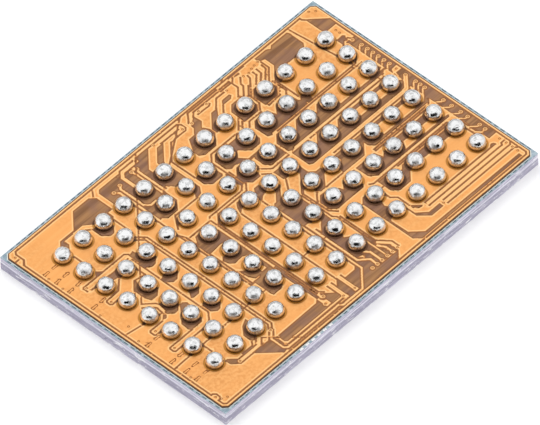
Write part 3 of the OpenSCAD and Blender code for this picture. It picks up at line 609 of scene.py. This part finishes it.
def film_material():
    """Gold over the copper and brown beside it, with painted shade where the film steps down, painted
    highlights inside the copper's edges and painted shade and reflection round each ball's foot.
    """
    m = Nodes("film_over_copper")
    reach, dent, border, foot = [m.layer(name) for name in ("reach", "dent", "border", "foot")]

    grain = m.ramp(m.noise(0.05, detail=3.0), [(0.34, 0.0), (0.62, 1.0)])
    broad = m.ramp(m.noise(0.9, detail=2.0), [(0.35, 0.0), (0.65, 1.0)])
    rolled = m.ramp(m.noise(0.06, stretch=(40, 1, 1), detail=2.0), [(0.35, 0.0), (0.65, 0.35)])
    gold = m.mix(grain, (0.77, 0.34, 0.10), (0.95, 0.465, 0.157))
    gold = m.mix(broad, gold, (0.96, 0.45, 0.14))
    gold = m.mix(rolled, gold, (0.90, 0.37, 0.10))
    # Painted highlight: a pale band just inside the copper's edge, on the film's slope
    lit = m.ramp(reach, [(0.56, 0.0), (0.66, 1.0), (0.78, 0.8), (0.97, 0.0)])
    gold = m.mix(lit, gold, (1.0, 0.62, 0.27))

    stripes = m.noise(0.07, stretch=(22, 1, 1), detail=3.0)
    striped = m.ramp(stripes, [(0.35, 0.0), (0.65, 1.0)])
    cloud = m.ramp(m.noise(0.35, detail=3.0), [(0.4, 0.0), (0.65, 0.6)])
    brown = m.mix(striped, (0.23, 0.105, 0.045), (0.44, 0.22, 0.09))
    brown = m.mix(cloud, brown, (0.27, 0.14, 0.10))

    over = m.ramp(reach, [(0.30, 0.0), (0.52, 1.0)])
    colour = m.mix(over, brown, gold)
    # Painted shade: a dark band along the copper's edges and round each dent, where the film steps down
    painted_edge_shade = m.ramp(reach, [(0.20, 0.0), (0.34, 0.85), (0.47, 0.85), (0.60, 0.0)])
    colour = m.mix(painted_edge_shade, colour, (0.27, 0.10, 0.034))
    # Painted shade round each dent, where the film dips
    rim = m.ramp(dent, [(0.14, 0.0), (0.38, 0.95), (0.62, 0.95), (0.92, 0.0)])
    colour = m.mix(rim, colour, (0.25, 0.075, 0.015))
    # Painted shade and reflection round a ball's foot: orange over copper and dark beside it, with two dark
    # painted rings, one at the opening and a fainter one beyond it
    foot_shade_and_reflection = m.mix(m.ramp(reach, [(0.64, 0.0), (0.82, 1.0)]), (0.11, 0.045, 0.018), (0.62, 0.25, 0.03))
    colour = m.mix(m.ramp(foot, [(0.44, 1.0), (0.82, 0.0)]), colour, foot_shade_and_reflection)
    foot_shade_rings = m.ramp(foot, [(0.30, 0.9), (0.40, 0.1), (0.50, 0.1), (0.60, 0.4), (0.74, 0.0)])
    colour = m.mix(foot_shade_rings, colour, (0.05, 0.017, 0.004))
    # Painted shade along the film's rolled border
    colour = m.mix(m.ramp(border, [(0.54, 1.0), (0.74, 0.0)]), colour, (0.04, 0.018, 0.008))

    m.to(colour, "Base Color")
    m.to(0.6, "Metallic")
    m.to(m.ramp(over, [(0.0, 0.05), (1.0, 0.20)]), "Roughness")
    m.bump(m.mix(0.5, m.noise(0.03, detail=2.0), stripes), 0.0006)
    return m.material


def solder_material():
    """Bright solder in patches, with painted shade towards its foot."""
    m = Nodes("solder_skin")
    skin = m.ramp(m.noise(0.05, rough=0.6), [(0.32, 0.62), (0.55, 0.95)])
    painted_lower_shade = m.ramp(m.level(SOLDER_FOOT, SOLDER_TOP), [(0.08, 0.85), (0.34, 0.0)])
    m.to(m.mix(painted_lower_shade, skin, (0.30, 0.22, 0.15)), "Base Color")
    m.to(1.0, "Metallic")
    m.to(m.ramp(m.noise(0.12, detail=3.0), [(0.38, 0.07), (0.62, 0.36)]), "Roughness")
    m.bump(m.noise(0.04, rough=0.6), 0.0038)
    return m.material


def sawn_material():
    """Sawn silicon: long streaks, darker bands, a painted highlight along the ledge between two cuts,
    scratches and dark chips.
    """
    m = Nodes("sawn_silicon")
    streak = m.noise(0.022, stretch=(25, 25, 1), rough=0.7)
    cloud = m.noise(0.12, stretch=(3, 3, 1), detail=3.0)
    side = m.mix(m.ramp(streak, [(0.34, 0.0), (0.64, 1.0)]), (0.36, 0.34, 0.45), (0.80, 0.77, 0.90))
    side = m.mix(m.ramp(cloud, [(0.4, 0.0), (0.7, 0.5)]), side, (0.58, 0.55, 0.68))
    wander = m.math("MULTIPLY_ADD", m.noise(0.4, stretch=(1, 1, 0.3), detail=3.0), 0.10, -0.05)
    level = m.math("ADD", m.level(0.0, DIE_TOP), wander)
    bands = m.ramp(level, [(0.02, 0.0), (0.14, 0.55), (0.34, 0.35), (0.50, 0.8), (0.60, 0.0)], smooth=False)
    side = m.mix(bands, side, (0.33, 0.31, 0.42))
    # Painted highlight along the ledge between the two cuts
    ledge = m.ramp(level, [(0.56, 0.0), (0.63, 0.75), (0.72, 0.0)])
    side = m.mix(ledge, side, (0.90, 0.88, 0.97))
    scratch = m.noise(0.035, stretch=(5, 5, 1), detail=6.0, rough=0.75)
    side = m.mix(m.ramp(scratch, [(0.55, 0.0), (0.62, 1.0)]), side, (0.96, 0.95, 0.98))
    chip = m.noise(0.05, stretch=(1.6, 1.6, 1), detail=5.0, rough=0.7)
    side = m.mix(m.ramp(chip, [(0.32, 0.8), (0.39, 0.0)]), side, (0.20, 0.19, 0.27))
    m.to(side, "Base Color")
    m.to(0.25, "Metallic")
    m.to(m.ramp(cloud, [(0.3, 0.38), (0.7, 0.58)]), "Roughness")
    m.bump(streak, 0.0012)
    return m.material


def mottled_material(name, low, high, size, metallic, rough, stretch=(1, 1, 1)):
    """Two colours mottled at one size, with matching roughness and bump."""
    m = Nodes(name)
    spots = m.noise(size, stretch=stretch, detail=3.0)
    m.to(m.mix(m.ramp(spots, [(0.3, 0.0), (0.7, 1.0)]), low, high), "Base Color")
    m.to(metallic, "Metallic")
    m.to(m.ramp(spots, [(0.3, rough * 0.8), (0.7, rough * 1.2)]), "Roughness")
    m.bump(spots, 0.0005)
    return m.material


FILM = film_material()
SOLDER = solder_material()
SAWN = sawn_material()
BACK = mottled_material(
    "ground_back", (0.22, 0.22, 0.25), (0.33, 0.33, 0.37), 0.04, 0.5, 0.42, stretch=(8, 1, 1))
OXIDE = mottled_material("street_oxide", (0.24, 0.33, 0.39), (0.44, 0.54, 0.60), 0.08, 0.6, 0.25)
SEAL = mottled_material("seal_metal", (0.78, 0.76, 0.66), (0.97, 0.95, 0.86), 0.06, 0.9, 0.3)
TILE = mottled_material("street_metal", (0.03, 0.045, 0.06), (0.10, 0.13, 0.16), 0.05, 0.6, 0.3)
PROBE = mottled_material("test_pad_metal", (0.75, 0.75, 0.76), (0.95, 0.95, 0.95), 0.03, 0.6, 0.3)
# Dark resin, near black: on the film's walls this darkness is painted shade
RESIN = mottled_material("film_wall_resin", (0.025, 0.010, 0.004), (0.07, 0.03, 0.012), 0.05, 0.0, 0.3)
COPPER = mottled_material("copper_metal", (0.75, 0.33, 0.16), (0.9, 0.42, 0.22), 0.03, 1.0, 0.3)
BUMP = mottled_material("bump_metal_skin", (0.20, 0.13, 0.08), (0.36, 0.25, 0.16), 0.03, 1.0, 0.3)


# ---------------------------------------------------------------- pieces

film = make_film(FILM, RESIN)
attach(film, "root")
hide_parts("upper_film")

for row_name, row in ROWS.items():
    balls = make_balls(row_name, row, SOLDER)
    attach(balls, "root")
    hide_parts(row_name)

die = make_die(SAWN, BACK)
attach(die, "root")
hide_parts("silicon_die")

# The other pieces keep the shapes of the CAD
DRESS = {
    "wiring_layers": OXIDE,
    "seal_ring": SEAL,
    "street_tiles": TILE,
    "test_pads": PROBE,
    "lower_film": RESIN,
    "gap_fill": RESIN,
    "landing_pads": COPPER,
    "via_posts": COPPER,
    "edge_ring": COPPER,
    "redistribution_copper": COPPER,
    **{name: BUMP for name in nodes if name.startswith("ubm_row_")},
}
for name, material in DRESS.items():
    nodes[name].data.materials.clear()
    nodes[name].data.materials.append(material)


# ---------------------------------------------------------------- stage, light and camera

def polar(azimuth, elevation):
    """Unit vector towards a direction. Azimuth 0 is the -Y side, and it turns towards -X."""
    a, e = math.radians(azimuth), math.radians(elevation)
    return Vector((-math.sin(a) * math.cos(e), -math.cos(a) * math.cos(e), math.sin(e)))


def aim(obj, azimuth, elevation, distance, target=(0, 0, 0), roll=0.0):
    """Puts an object at a distance from the target, with its Z axis away from it."""
    away = polar(azimuth, elevation)
    obj.location = (Vector(target) + away * distance) * MM
    obj.rotation_mode = "QUATERNION"
    obj.rotation_quaternion = away.to_track_quat("Z", "Y") @ Quaternion((0, 0, 1), math.radians(roll))


def add_sheet(name, half_w, half_h, material, level=0.0):
    """A flat rectangle round the origin, as part of the stage."""
    corners = [(x * half_w, y * half_h, level) for x, y in ((-1, -1), (1, -1), (1, 1), (-1, 1))]
    mesh = bpy.data.meshes.new(name)
    mesh.from_pydata([Vector(corner) * MM for corner in corners], [], [(0, 1, 2, 3)])
    mesh.materials.append(material)
    sheet = link_object(name, mesh)
    return sheet


def floor_material():
    m = Nodes("floor_paper")
    m.to(m.mix(m.noise(4.0), (0.86, 0.86, 0.86), (0.9, 0.9, 0.9)), "Base Color")
    m.to(0.9, "Roughness")
    m.to((1.0, 1.0, 1.0), "Emission Color")
    light = m.add("ShaderNodeLightPath")
    m.to(m.math("MULTIPLY", light.outputs["Is Camera Ray"], FLOOR_GLOW), "Emission Strength")
    # Clear from below, and to the light that reaches the die's back, so that the back is lit and seen
    above = m.math("SUBTRACT", 1.0, m.add("ShaderNodeNewGeometry").outputs["Backfacing"])
    apart = m.math("GREATER_THAN", light.outputs["Ray Length"], FLOOR_CLEAR * MM)
    m.to(m.math("MULTIPLY", above, apart), "Alpha")
    return m.material


def studio_world():
    """Plain light, and full white where the camera, gloss and glass look past the floor."""
    world = bpy.data.worlds.new("studio")
    world.use_nodes = True
    tree = world.node_tree
    plain = tree.nodes["Background"]
    white = tree.nodes.new("ShaderNodeBackground")
    for background, strength in ((plain, WORLD_LIGHT), (white, 1.0)):
        background.inputs["Color"].default_value = (1, 1, 1, 1)
        background.inputs["Strength"].default_value = strength
    path = tree.nodes.new("ShaderNodeLightPath")
    seen = path.outputs["Is Camera Ray"]
    for kind in ("Is Glossy Ray", "Is Transmission Ray"):
        either = tree.nodes.new("ShaderNodeMath")
        either.operation = "MAXIMUM"
        tree.links.new(seen, either.inputs[0])
        tree.links.new(path.outputs[kind], either.inputs[1])
        seen = either.outputs[0]
    mixer = tree.nodes.new("ShaderNodeMixShader")
    for source, socket in zip((seen, plain.outputs[0], white.outputs[0]), mixer.inputs):
        tree.links.new(source, socket)
    tree.links.new(mixer.outputs[0], tree.nodes["World Output"].inputs["Surface"])
    return world


def add_sun(name, azimuth, elevation, strength, spread):
    lamp = bpy.data.lights.new(name, "SUN")
    lamp.energy = strength
    lamp.angle = math.radians(spread)
    sun = link_object(name, lamp)
    aim(sun, azimuth, elevation, SUN_DISTANCE)
    sun.visible_glossy = False


def add_card(name, azimuth, elevation, width, height, shade):
    """A card that only reflections see, with its width and height in degrees."""
    material = bpy.data.materials.new(name)
    material.use_nodes = True
    tree = material.node_tree
    tree.nodes.clear()
    emit = tree.nodes.new("ShaderNodeEmission")
    emit.inputs["Color"].default_value = (shade, shade, shade, 1)
    out = tree.nodes.new("ShaderNodeOutputMaterial")
    tree.links.new(emit.outputs[0], out.inputs["Surface"])
    half_w, half_h = [CARD_DISTANCE * math.tan(math.radians(angle / 2)) for angle in (width, height)]
    card = add_sheet(name, half_w, half_h, material)
    aim(card, azimuth, elevation, CARD_DISTANCE)
    for kind in ("camera", "diffuse", "shadow", "transmission"):
        setattr(card, "visible_" + kind, False)


def add_camera():
    data = bpy.data.cameras.new("camera")
    data.lens = 1200
    data.sensor_width = 36
    data.clip_start = 0.01
    data.clip_end = 5
    camera = link_object("camera", data)
    aim(camera, VIEW_AZIMUTH, VIEW_ELEVATION, VIEW_DISTANCE, VIEW_TARGET, VIEW_ROLL)
    return camera


add_sheet("floor", FLOOR_HALF, FLOOR_HALF, floor_material(), FLOOR_LEVEL)
add_sun("key_lamp", FRONT + 150, 55, 1.0, 50)
add_sun("fill_lamp", FRONT - 60, 50, 0.5, 60)
# The dark card gives each ball its dark spot, and the grey card its grey upper rim
add_card("viewer_card", FRONT - 2, 23, 88, 38, 0.01)
add_card("far_card", FRONT + 180, 13, 150, 30, 0.5)
bpy.context.scene.world = studio_world()
bpy.context.scene.camera = add_camera()
bpy.context.scene.view_settings.view_transform = "Standard"
